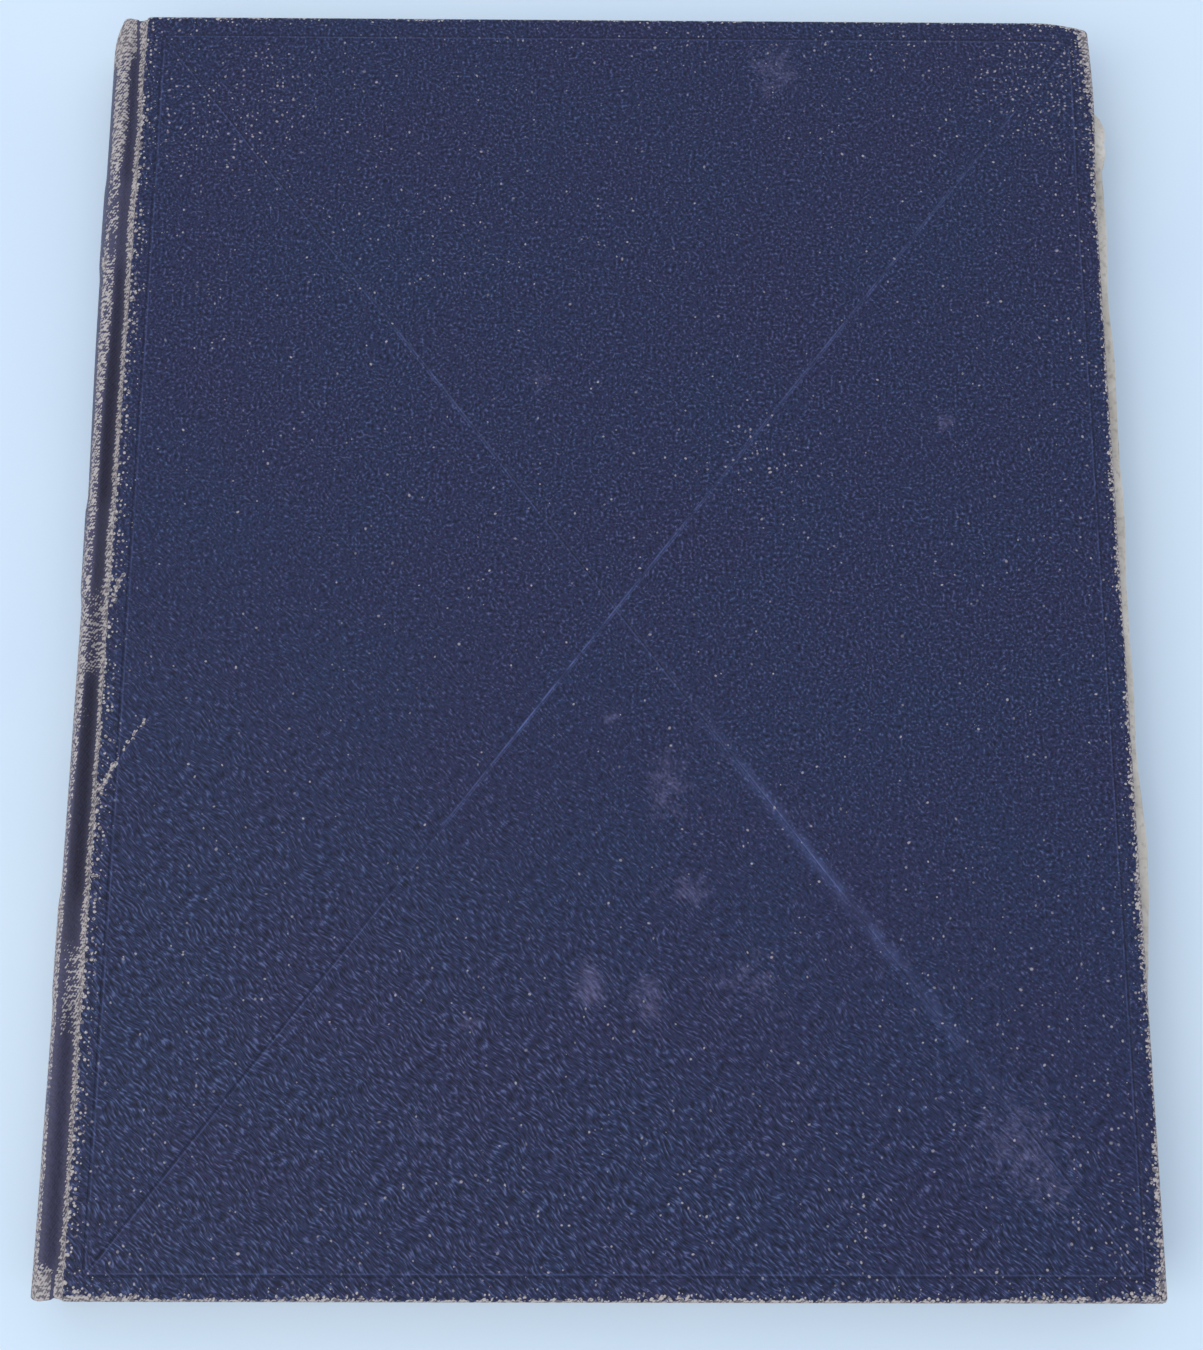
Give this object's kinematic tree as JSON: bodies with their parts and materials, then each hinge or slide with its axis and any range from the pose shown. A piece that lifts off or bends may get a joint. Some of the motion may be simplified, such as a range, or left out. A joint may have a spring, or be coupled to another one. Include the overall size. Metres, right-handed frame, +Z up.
{
  "type": "hardback book",
  "caption": "Slim old quarto hardback in dark blue grained book cloth, with blind-ruled front cover, worn rounded spine and covers that open on their joints.",
  "frame": {"origin": "middle of the book's footprint, on the surface that it lies on", "axes": "+X from the spine to the fore-edge, +Y from the tail to the head, +Z up through the front cover"},
  "size_m": [0.2062, 0.254, 0.0145],
  "materials": {
    "book_cloth": "pebble-grained sized cloth, worn to the tan weave along its edges and spine",
    "board": "grey-brown millboard",
    "pages": "toned leaf edges",
    "endpaper": "plain toned endpaper",
    "tape": "unbleached linen tape",
    "lining": "open cotton cloth under paper"
  },
  "bodies": {
    "book_block": {"text_block": "pages", "spine_lining": "lining", "tape_tail": "tape", "tape_middle": "tape", "tape_head": "tape", "spine_strip": "board", "spine_cloth": "book_cloth", "front_flyleaf": "endpaper", "back_flyleaf": "endpaper"},
    "front_cover": {"front_board": "board", "front_cloth": "book_cloth", "front_pastedown": "endpaper", "front_slip_tail": "tape", "front_slip_middle": "tape", "front_slip_head": "tape"},
    "back_cover": {"back_board": "board", "back_cloth": "book_cloth", "back_pastedown": "endpaper", "back_slip_tail": "tape", "back_slip_middle": "tape", "back_slip_head": "tape"}
  },
  "joints": [
    {"name": "front_joint", "type": "hinge", "parent": "book_block", "child": "front_cover", "pos_m": [-0.09676, 0, 0.0142], "axis": [0, -1, 0], "range_deg": [0, 180]},
    {"name": "back_joint", "type": "hinge", "parent": "book_block", "child": "back_cover", "pos_m": [-0.09676, 0, 0.0003], "axis": [0, 1, 0], "range_deg": [0, 180]}
  ]
}
